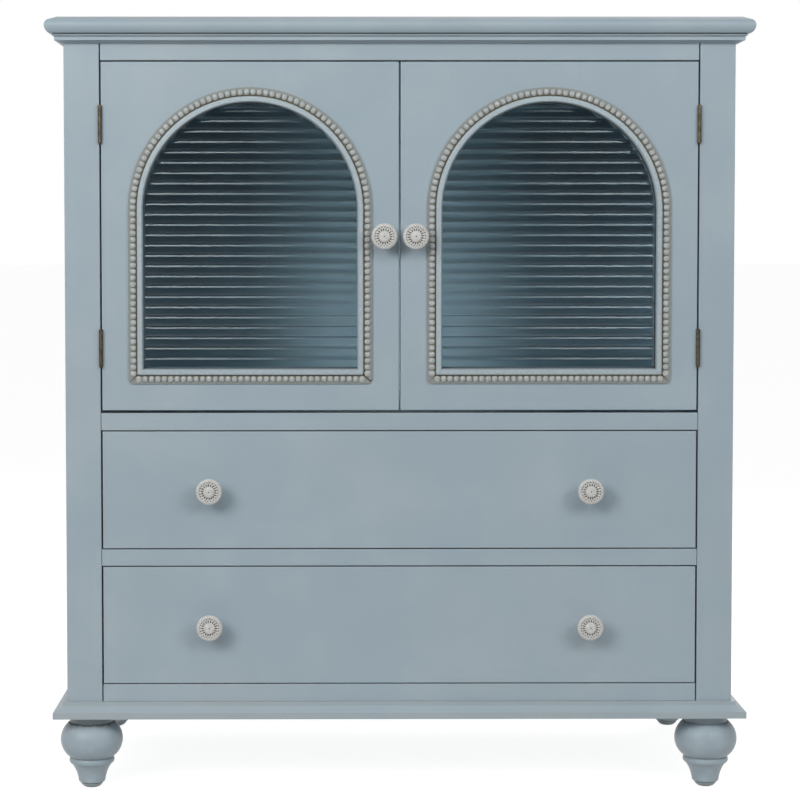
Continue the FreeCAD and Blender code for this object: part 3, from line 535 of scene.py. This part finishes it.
def bead_places(window):
    """Centres of the beads over the arch and along the sill, and the angle from each to the groove."""
    reach = window["radius"] + BEAD_OFFSET
    leg = window["spring"] - window["sill"] + BEAD_OFFSET
    bend = math.pi * reach
    start = MITRE_START * BEAD_PITCH
    length = 2 * leg + bend - 2 * start
    count = round(length / BEAD_PITCH)
    places = []
    for index in range(count + 1):
        along = start + index * length / count
        worn = index in (0, count)
        if along < leg:
            places.append((window["middle"] - reach, window["spring"] - leg + along, 0.0, worn))
        elif along < leg + bend:
            turn = math.pi - (along - leg) / reach
            x = window["middle"] + reach * math.cos(turn)
            places.append((x, window["spring"] + reach * math.sin(turn), turn + math.pi, worn))
        else:
            places.append((window["middle"] + reach, window["spring"] - along + leg + bend, math.pi, worn))
    width = 2 * (reach - start)
    across = round(width / BEAD_PITCH)
    for index in range(across + 1):
        x = window["middle"] - reach + start + index * width / across
        places.append((x, window["sill"] - BEAD_OFFSET, math.pi / 2, index in (0, across)))
    return places


def squared(value):
    """A sine or cosine moved towards a square, which turns a circle into a pillow."""
    return math.copysign(abs(value) ** (2 / BEAD_SQUARENESS), value)


def add_bead(mesh, glaze_and_shade, window, x, z, inward, size, rise):
    """A pillow-shaped dome with its rim sunk under the seat, deeper glaze and painted shade towards the rim
    and the groove.
    """
    around, up = 20, 7
    ahead, aside = math.cos(inward), math.sin(inward)
    rows = []
    for level in range(up):
        lift = math.radians(-12 + 96 * level / up)
        row = []
        for index in range(around):
            turn = 2 * math.pi * index / around
            across = BEAD_ACROSS * size * math.cos(lift) * squared(math.cos(turn))
            along = BEAD_ALONG * size * math.cos(lift) * squared(math.sin(turn))
            height = SEAT_HEIGHT + rise * math.sin(lift)
            point_x = x + across * ahead - along * aside
            point_z = z + across * aside + along * ahead
            vertex = mesh.verts.new((point_x, window["face"] - height, point_z))
            side = 0.75 + 0.3 * math.cos(turn)
            vertex[glaze_and_shade] = side * (1 - math.sin(max(lift, 0))) ** 1.25
            row.append(vertex)
        rows.append(row)
    crown = mesh.verts.new((x, window["face"] - SEAT_HEIGHT - rise, z))
    for row, after in zip(rows, rows[1:]):
        for index in range(around):
            beyond = (index + 1) % around
            face = mesh.faces.new((row[index], row[beyond], after[beyond], after[index]))
            face.material_index = 1
    for index in range(around):
        face = mesh.faces.new((rows[-1][index], rows[-1][(index + 1) % around], crown))
        face.material_index = 1


def fill_mitre(mesh, window, side, crack):
    """A near-black strip at the bottom of an open mitre, painted shadow in the crack, from the lip to the
    outer corner.
    """
    inner = LIP_WIDTH - LIP_ROUND / 2
    outer = MOULDING_WIDTH - CORNER_CUT / 2
    corners = []
    for out, lift in ((inner, 0.0), (outer, 0.0), (outer, crack), (inner, crack)):
        x = window["middle"] + side * (window["radius"] + out)
        corners.append(mesh.verts.new((x, window["face"] - CRACK_SHADOW_HEIGHT, window["sill"] - out + lift)))
    mesh.faces.new(corners).material_index = 2


def lay_putty(mesh, window, pane_front):
    """A sloped line of grey putty along the foot of the glass, between the legs of the window, dark as
    painted shade.
    """
    ends = []
    for side in (-1, 1):
        x = window["middle"] + side * window["radius"]
        section = ((PUTTY_DEPTH, 0.0), (0.0, PUTTY_HEIGHT), (0.0, 0.0))
        ends.append([mesh.verts.new((x, pane_front - out, window["sill"] + up)) for out, up in section])
    for index in range(3):
        beyond = (index + 1) % 3
        mesh.faces.new((ends[0][index], ends[0][beyond], ends[1][beyond], ends[1][index])).material_index = 3
    for end in ends:
        mesh.faces.new(end).material_index = 3


def finish_mesh(name, mesh, crease):
    """A mesh object from a bmesh, smooth except over creases sharper than the angle in degrees."""
    bmesh.ops.recalc_face_normals(mesh, faces=mesh.faces)
    for face in mesh.faces:
        face.smooth = True
    for edge in mesh.edges:
        if len(edge.link_faces) == 2 and edge.calc_face_angle() > math.radians(crease):
            edge.smooth = False
    data = bpy.data.meshes.new(name)
    mesh.to_mesh(data)
    mesh.free()
    piece = bpy.data.objects.new(name, data)
    bpy.context.scene.collection.objects.link(piece)
    return piece


def beaded_moulding(side, seed):
    window = window_of(side)
    mesh = bmesh.new()
    glaze_and_shade = mesh.verts.layers.float.new("glaze_and_shade")
    section = moulding_section()
    for rings, place in (arch_rings(window), sill_rings(window)):
        sweep(mesh, glaze_and_shade, rings, section, window, place)
    for side_x, crack in zip((-1, 1), window["cracks"]):
        fill_mitre(mesh, window, side_x, crack)
    lay_putty(mesh, window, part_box(side + "_door_glass")[0].y)
    chance = random.Random(seed)
    beads = bead_places(window)
    for x, z, inward, worn in beads:
        size = chance.uniform(0.97, 1.02)
        add_bead(mesh, glaze_and_shade, window, x, z, inward, size, BEAD_RISE * (WORN_RISE if worn else size))
    piece = finish_mesh(side + "_bead_moulding", mesh, 40)
    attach(piece, side + "_door")
    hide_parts(side + "_door_beading")
    print(piece.name, "beads:", len(beads), "faces:", len(piece.data.polygons))
    return piece


mouldings = [beaded_moulding("left", 11), beaded_moulding("right", 12)]

# %% [markdown]
# The moulding is painted like the case, and the beads a plainer grey. A brown glaze was then wiped over
# it and left in the groove and between the beads, round their rims and on the seat, where it is painted
# shade as well. The stored depth drives it, roughened by noise of about 4 mm so that no two beads are
# wiped alike. The mesh's last two materials are the painted shadow in its open mitres and the putty.

# %% Glazed paint for lip and beads, also painted shade
def glaze_and_shade_paint(name, pale, dark, brown, start, end):
    """Paint with a brown glaze, also painted shade, that gathers where the stored depth passes from start to
    end.
    """
    paint, tree, shader = new_finish(name, IOR=1.48)
    place = add(tree, "TexCoord").outputs["Object"]
    wipes = add(tree, "TexNoise", {"Vector": place}, Scale=1 / (4 * MM), Detail=3.0, Roughness=0.6)
    shades = add(tree, "ValToRGB", {0: wipes.outputs[0]})
    stops(shades, (0.35, colour(dark)), (0.65, colour(pale)))
    depth = add(tree, "Attribute", attribute_name="glaze_and_shade")
    uneven = add(tree, "MapRange", {"Value": wipes.outputs[0]}, To_Min=-0.22, To_Max=0.22)
    reach = add(tree, "Math", {0: depth.outputs["Fac"], 1: uneven.outputs[0]}, operation="ADD")
    left = add(tree, "MapRange", {"Value": reach.outputs[0]}, From_Min=start, From_Max=end)
    glazed_and_shaded = add(tree, "Mix", {0: left.outputs[0], 6: shades.outputs[0]}, data_type="RGBA")
    glazed_and_shaded.inputs[7].default_value = colour(brown)
    tree.links.new(glazed_and_shaded.outputs[2], shader.inputs["Base Color"])
    gloss = add(tree, "MapRange", {"Value": wipes.outputs[0]}, To_Min=0.3, To_Max=0.46)
    tree.links.new(gloss.outputs[0], shader.inputs["Roughness"])
    return paint


lip_paint = glaze_and_shade_paint("paint_with_glaze_and_painted_shade_on_lip", "ABB7BC", "9FABB1", "6B6044", 0.1, 1.0)
bead_paint = glaze_and_shade_paint("paint_with_glaze_and_painted_shade_on_beads", "B4B7B7", "9DA09D", "6E6142", 0.28, 0.85)
# The near-black strip in the open mitres is painted shadow.
crack_shadow = clouded("painted_shadow_in_open_mitre", "1E1B18", "2C2723", 2 * MM, 0.0, 0.6, 0.8)
# The putty's dark grey is painted shade at the foot of the glass.
putty_with_painted_shade = clouded("grey_putty_with_painted_shade_on_glass", "54646C", "47565E", 6 * MM, 0.0, 0.5, 0.7)
for piece in mouldings:
    for material in (lip_paint, bead_paint, crack_shadow, putty_with_painted_shade):
        piece.data.materials.append(material)
print("glazes:", lip_paint.name, bead_paint.name)

# %% [markdown]
# The sawn edge of each window, between the moulding and the glass, is painted dark as painted shadow,
# so it reads as a thin shadow line round the glass. A copy of the doors' paint is darkened wherever a face
# of the door looks sideways and lies within the window's outline.

# %% Painted shadow on the window edges
WINDOW_EDGE_SHADOW = "343B3E"


def window_edge_shadow_paint():
    """The upright paint, with a painted shadow on the inner edges of the windows."""
    paint = paint_upright.copy()
    paint.name = "satin_paint_with_painted_shadow_on_window_edge"
    tree = paint.node_tree
    shader = tree.nodes["Principled BSDF"]
    window = window_of("left")
    coordinates = add(tree, "TexCoord")
    place = add(tree, "SeparateXYZ", {0: coordinates.outputs["Object"]})
    facing = add(tree, "SeparateXYZ", {0: coordinates.outputs["Normal"]})
    flank = add(tree, "Math", {0: facing.outputs["Y"]}, operation="ABSOLUTE")
    edge = add(tree, "MapRange", {"Value": flank.outputs[0]}, From_Min=0.5, From_Max=0.2)
    from_middle = add(tree, "Math", {0: place.outputs["X"]}, operation="ABSOLUTE")
    off = add(tree, "Math", {0: from_middle.outputs[0]}, operation="SUBTRACT")
    off.inputs[1].default_value = abs(window["middle"])
    aside = add(tree, "Math", {0: off.outputs[0]}, operation="ABSOLUTE")
    within = add(tree, "Math", {0: aside.outputs[0]}, operation="LESS_THAN")
    within.inputs[1].default_value = window["radius"] + MM
    over = add(tree, "Math", {0: place.outputs["Z"]}, operation="GREATER_THAN")
    over.inputs[1].default_value = window["sill"] - MM
    under = add(tree, "Math", {0: place.outputs["Z"]}, operation="LESS_THAN")
    under.inputs[1].default_value = window["spring"] + window["radius"] + MM
    beside = add(tree, "Math", {0: edge.outputs[0], 1: within.outputs[0]}, operation="MULTIPLY")
    between = add(tree, "Math", {0: over.outputs[0], 1: under.outputs[0]}, operation="MULTIPLY")
    inside = add(tree, "Math", {0: beside.outputs[0], 1: between.outputs[0]}, operation="MULTIPLY")
    painted = shader.inputs["Base Color"].links[0].from_socket
    # Painted shadow on the window edges.
    shadowed = add(tree, "Mix", {0: inside.outputs[0], 6: painted}, data_type="RGBA")
    shadowed.inputs[7].default_value = colour(WINDOW_EDGE_SHADOW)
    tree.links.new(shadowed.outputs[2], shader.inputs["Base Color"])
    return paint


finish(window_edge_shadow_paint(), "left_door_panel", "right_door_panel")
print("door finish:", solids["left_door_panel"].material_slots[0].material.name)

# %% [markdown]
# ## Carved knobs
# The knobs are turned, then carved with a ring of petals round a boss and two rings of small pits near
# the rim, painted cream and rubbed with dark wax. A texture could fake the cuts, but they catch light,
# so they are cut into the mesh: a turned section is laid out on a fine polar grid, and each grid
# point is pushed back where a cut lies. The same depth drives the dark wax, which is painted shade in the
# cuts too.

# %% The section of the knob and its cuts
KNOB_RADIUS = 16.7 * MM
KNOB_REACH = 29.0 * MM
PETALS = 18
PITS = 20
AROUND = 198


def knob_section():
    """Points of the turned section as (radius, distance off the face), from its foot to its boss."""
    section = [(8.0, 0.0), (8.0, 2.5)]
    for step in range(1, 7):
        turn = math.radians(15 * step)
        section.append((8.0 - 2.5 * math.sin(turn), 5.0 - 2.5 * math.cos(turn)))
    section += [(5.5, 8.0), (5.6, 10.5), (7.6, 13.2), (11.0, 16.4), (14.2, 18.8)]
    for step in range(9):
        turn = math.radians(-60 + 20 * step)
        section.append((13.4 + 3.3 * math.cos(turn), 23.4 + 3.6 * math.sin(turn)))
    pitted = [round(14.1 - 0.3 * step, 1) for step in range(8)]
    petalled = [round(11.6 - 0.4 * step, 1) for step in range(12)]
    for radius in pitted + petalled:
        section.append((radius, 26.9 - 0.7 * math.sin(math.pi * (14.4 - radius) / 7.4)))
    for step in range(1, 12):
        radius = 7.2 * (1 - step / 12)
        section.append((radius, 27.3 + 1.7 * math.sqrt(max(0.0, 1 - (radius / 7.3) ** 2))))
    return [(radius * MM, reach * MM) for radius, reach in section]


def carving(radius, turn):
    """How deep the carver cut at a radius and an angle, from 0 to 1 of a full cut."""
    r = radius / MM
    petal = 0.0
    if 7.0 < r < 10.8:
        across = abs(math.sin(PETALS * turn / 2))
        width = 0.5 - 0.32 * (r - 7.0) / 3.8
        wedge = max(0.0, 1 - (1 - across) / width)
        petal = wedge * min(1.0, (r - 7.0) / 0.6) * min(1.0, (10.8 - r) / 1.4)
    pits = 0.0
    for ring, size, phase in ((11.9, 1.0, 0.0), (13.5, 0.85, 0.5)):
        gap = (PITS * turn / (2 * math.pi) + phase) % 1 - 0.5
        off = math.hypot(gap * 2 * math.pi * ring / PITS, r - ring)
        pits = max(pits, 1 - (off / size) ** 2)
    dot = max(0.0, 1 - (r / 1.1) ** 2)
    return max(petal, 0.8 * pits, 0.8 * dot)


print("knob section points:", len(knob_section()))

# %% Cut the knobs
CUT_DEPTH = 1.3 * MM


def add_knob(mesh, wax_and_shade, centre, twist):
    section = knob_section()
    rows = []
    for radius, reach in section:
        front = reach > 24.5 * MM
        row = []
        for index in range(AROUND):
            turn = 2 * math.pi * index / AROUND
            cut = carving(radius, turn) if front and radius < 14.3 * MM else 0.0
            spin = turn + twist
            point = (radius * math.cos(spin), -(reach - CUT_DEPTH * cut), radius * math.sin(spin))
            vertex = mesh.verts.new(centre + Vector(point))
            vertex[wax_and_shade] = cut
            row.append(vertex)
        rows.append(row)
    for row, after in zip(rows, rows[1:]):
        for index in range(AROUND):
            beyond = (index + 1) % AROUND
            mesh.faces.new((row[index], row[beyond], after[beyond], after[index]))
    tip = mesh.verts.new(centre + Vector((0, -(KNOB_REACH - 0.8 * CUT_DEPTH), 0)))
    tip[wax_and_shade] = 0.8
    for index in range(AROUND):
        mesh.faces.new((rows[-1][index], rows[-1][(index + 1) % AROUND], tip))
    mesh.faces.new(rows[0])


def carved_knobs(name, node, body, twists):
    """One piece with the knobs of a node: one on a door, two on a drawer."""
    low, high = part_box(node)
    level = (low.z + high.z) / 2
    if len(twists) == 1:
        places = [(low.x + high.x) / 2]
    else:
        places = [low.x + KNOB_RADIUS, high.x - KNOB_RADIUS]
    mesh = bmesh.new()
    wax_and_shade = mesh.verts.layers.float.new("glaze_and_shade")
    for x, twist in zip(places, twists):
        add_knob(mesh, wax_and_shade, Vector((x, high.y, level)), math.radians(twist))
    piece = finish_mesh(name, mesh, 55)
    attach(piece, body)
    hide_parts(node)
    print(piece.name, "faces:", len(piece.data.polygons))
    return piece


knobs = [
    carved_knobs("left_door_carved_knob", "left_door_knob", "left_door", [7]),
    carved_knobs("right_door_carved_knob", "right_door_knob", "right_door", [-4]),
    carved_knobs("upper_drawer_carved_knobs", "upper_drawer_knobs", "upper_drawer", [3, 12]),
    carved_knobs("lower_drawer_carved_knobs", "lower_drawer_knobs", "lower_drawer", [9, -6]),
]

# %% Cream paint rubbed with dark wax, also painted shade in the cuts
cream = glaze_and_shade_paint("cream_paint_with_wax_and_painted_shade_on_knob", "CFCDC9", "BDBAB6", "48443F", 0.15, 0.6)
for piece in knobs:
    piece.data.materials.append(cream)
print("knob finish:", cream.name)

# %% [markdown]
# ## Floor, light and camera
# The photograph has a white ground and broad soft light. Two softboxes, one on either side, light the
# paint. Two smaller lamps stand high in front: the reeds of the glass mirror them as fine bright lines,
# which end where a lamp fades, so their place matters more than their power. A fifth lamp lights the
# back for other views. The floor and the world are white to the camera, and the floor still takes a
# soft shadow. The room in front of the cabinet is dimmer than the white ground behind it, and that is
# what the glass mirrors between its lines.

# %% White ground
SWEEP_END = -0.6
SWEEP_BLEND = 0.3
FLOOR_HALF_WIDTH = 60.0


def ground_paint():
    """Matt white near the cabinet, plain grey further in front, and white to whatever looks at it."""
    ground = bpy.data.materials.new("matt_white_ground")
    ground.use_nodes = True
    tree = ground.node_tree
    tree.nodes.clear()
    place = add(tree, "SeparateXYZ", {0: add(tree, "NewGeometry").outputs["Position"]})
    near = add(tree, "MapRange", {"Value": place.outputs["Y"]}, From_Max=SWEEP_END)
    near.inputs["From Min"].default_value = SWEEP_END - SWEEP_BLEND
    lain = add(tree, "ValToRGB", {0: near.outputs[0]})
    stops(lain, (0.0, colour("7E8284")), (1.0, colour("D4D4D4")))
    matt = add(tree, "BsdfDiffuse", {0: lain.outputs[0]})
    shaded = add(tree, "BsdfDiffuse", Color=colour("9A9A9A"))
    glow = add(tree, "Emission", Strength=0.9)
    bright = add(tree, "AddShader", {0: shaded.outputs[0], 1: glow.outputs[0]})
    path = add(tree, "LightPath")
    mirrored = add(tree, "Math", {0: path.outputs["Is Glossy Ray"], 1: near.outputs[0]}, operation="MULTIPLY")
    seen = add(tree, "Math", {0: path.outputs["Is Camera Ray"], 1: mirrored.outputs[0]}, operation="MAXIMUM")
    through = path.outputs["Is Transmission Ray"]
    clear = add(tree, "Math", {0: seen.outputs[0], 1: through}, operation="MAXIMUM")
    mixed = add(tree, "MixShader", {0: clear.outputs[0], 1: matt.outputs[0], 2: bright.outputs[0]})
    add(tree, "OutputMaterial", {0: mixed.outputs[0]})
    return ground


floor_mesh = bpy.data.meshes.new("studio_floor")
corner_signs = ((-1, -1), (1, -1), (1, 1), (-1, 1))
floor_corners = [(x * FLOOR_HALF_WIDTH, y * FLOOR_HALF_WIDTH, 0) for x, y in corner_signs]
floor_mesh.from_pydata(floor_corners, [], [(0, 1, 2, 3)])
studio_floor = bpy.data.objects.new("studio_floor", floor_mesh)
bpy.context.scene.collection.objects.link(studio_floor)
studio_floor.data.materials.append(ground_paint())
print("floor half width:", FLOOR_HALF_WIDTH)

# %% The room's own light
AMBIENT = 0.245
FRONT_LIGHT, BACK_LIGHT = 1.35 * AMBIENT, 0.4 * AMBIENT
REAR_LIGHT = 0.8 * AMBIENT
LEFT_SHARE, RIGHT_SHARE = 1.35, 0.65
MIRRORED_SHARE = 0.2
world = bpy.data.worlds.new("studio_room")
bpy.context.scene.world = world
world.use_nodes = True
tree = world.node_tree
tree.nodes.clear()
path = add(tree, "LightPath")
look = add(tree, "SeparateXYZ", {0: add(tree, "TexCoord").outputs["Generated"]})
behind = add(tree, "MapRange", {"Value": look.outputs["Y"]}, From_Min=-0.1, From_Max=0.25)
glossy, through = path.outputs["Is Glossy Ray"], path.outputs["Is Transmission Ray"]
mirrored = add(tree, "Math", {0: glossy, 1: through}, operation="MAXIMUM")
shown = add(tree, "Math", {0: mirrored.outputs[0], 1: behind.outputs[0]}, operation="MULTIPLY")
white = add(tree, "Math", {0: path.outputs["Is Camera Ray"], 1: shown.outputs[0]}, operation="MAXIMUM")
front = add(tree, "MapRange", {"Value": look.outputs["Y"]}, From_Min=-1.0, From_Max=0.7)
front.inputs["To Min"].default_value = FRONT_LIGHT
front.inputs["To Max"].default_value = BACK_LIGHT
rear = add(tree, "MapRange", {"Value": look.outputs["Y"]}, To_Max=REAR_LIGHT)
both = add(tree, "Math", {0: front.outputs[0], 1: rear.outputs[0]}, operation="ADD")
slant = add(tree, "MapRange", {"Value": look.outputs["X"]}, From_Min=-1.0, From_Max=1.0)
slant.inputs["To Min"].default_value = LEFT_SHARE
slant.inputs["To Max"].default_value = RIGHT_SHARE
sided = add(tree, "Math", {0: both.outputs[0], 1: slant.outputs[0]}, operation="MULTIPLY")
dimmer = add(tree, "MapRange", {"Value": mirrored.outputs[0]}, To_Min=1.0, To_Max=MIRRORED_SHARE)
level = add(tree, "Math", {0: sided.outputs[0], 1: dimmer.outputs[0]}, operation="MULTIPLY")
room = add(tree, "Background", {"Strength": level.outputs[0]}, Color=colour("FFFFFF"))
ground = add(tree, "Background", Color=colour("FFFFFF"), Strength=1.0)
mixed = add(tree, "MixShader", {0: white.outputs[0], 1: room.outputs[0], 2: ground.outputs[0]})
add(tree, "OutputWorld", {0: mixed.outputs[0]})
print("ambient:", AMBIENT)

# %% Lamps
WHITE, COOL_WHITE = "FFFFFF", "EFFCFF"
EVEN = ((0.0, 1.0),)
LEFT_FADE = ((0.0, 1.0), (0.42, 1.0), (0.75, 0.58), (0.93, 0.0))
RIGHT_FADE = ((0.12, 0.0), (0.28, 0.5), (0.48, 0.86), (0.66, 1.0), (1.0, 1.0))


def soft_lamp(name, place, aim, size, power, tint, fade):
    """A flat lamp aimed at a point, whose light fades across its width by (share, level) pairs."""
    lamp = bpy.data.lights.new(name, "AREA")
    lamp.shape = "RECTANGLE"
    lamp.size, lamp.size_y = size
    lamp.energy = power
    lamp.color = colour(tint)[:3]
    lamp.use_nodes = True
    tree = lamp.node_tree
    across = add(tree, "SeparateXYZ", {0: add(tree, "NewGeometry").outputs["Parametric"]})
    ramp = add(tree, "ValToRGB", {0: across.outputs["X"]})
    stops(ramp, *[(position, (level, level, level, 1)) for position, level in fade])
    tree.links.new(ramp.outputs[0], tree.nodes["Emission"].inputs["Color"])
    lamp_object = bpy.data.objects.new(name, lamp)
    lamp_object.location = place
    lamp_object.rotation_euler = (Vector(aim) - Vector(place)).to_track_quat("-Z", "Y").to_euler()
    bpy.context.scene.collection.objects.link(lamp_object)
    return lamp_object


lamps = [
    soft_lamp("left_softbox", (-1.55, -2.2, 1.55), (-0.1, -0.2, 0.55), (1.2, 1.0), 35.5, WHITE, EVEN),
    soft_lamp("right_softbox", (1.6, -2.2, 1.55), (0.1, -0.2, 0.55), (1.2, 1.0), 21.5, WHITE, EVEN),
    soft_lamp("left_strip", (-0.37, -2.2, 2.0), (-0.37, -0.2, 0.7), (0.52, 0.78), 8.5, COOL_WHITE, LEFT_FADE),
    soft_lamp("right_strip", (0.48, -2.2, 2.0), (0.48, -0.2, 0.7), (0.52, 0.78), 8.0, COOL_WHITE, RIGHT_FADE),
    soft_lamp("rear_softbox", (0.7, 2.4, 1.9), (0.0, 0.2, 0.55), (1.2, 0.8), 26, WHITE, EVEN),
]
print("lamps, in watts:", {lamp.name: lamp.data.energy for lamp in lamps})

# %% Camera
PICTURE = 800
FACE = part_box("left_front_post")[0].y
CAMERA_PLACE = (-0.0792, FACE - 2.9, 0.71095)
CAMERA_PITCH = 0.04673
CAMERA_YAW = 0.00504
CAMERA_ROLL = -0.00049
FOCAL_PIXELS = 2271.9
CENTRE_PIXEL = (349.13, 345.09)
camera_data = bpy.data.cameras.new("camera")
camera_data.sensor_width = 36.0
camera_data.lens = camera_data.sensor_width * FOCAL_PIXELS / PICTURE
camera_data.shift_x = 0.5 - CENTRE_PIXEL[0] / PICTURE
camera_data.shift_y = CENTRE_PIXEL[1] / PICTURE - 0.5
camera = bpy.data.objects.new("camera", camera_data)
turn = Matrix.Rotation(-CAMERA_YAW, 4, "Z")
tilt = Matrix.Rotation(math.pi / 2 - CAMERA_PITCH, 4, "X")
roll = Matrix.Rotation(CAMERA_ROLL, 4, "Z")
camera.matrix_world = Matrix.Translation(CAMERA_PLACE) @ turn @ tilt @ roll
bpy.context.scene.collection.objects.link(camera)
bpy.context.scene.camera = camera
bpy.context.scene.view_settings.view_transform = "Standard"
print("lens:", round(camera_data.lens, 1))
print("shift:", round(camera_data.shift_x, 4), round(camera_data.shift_y, 4))
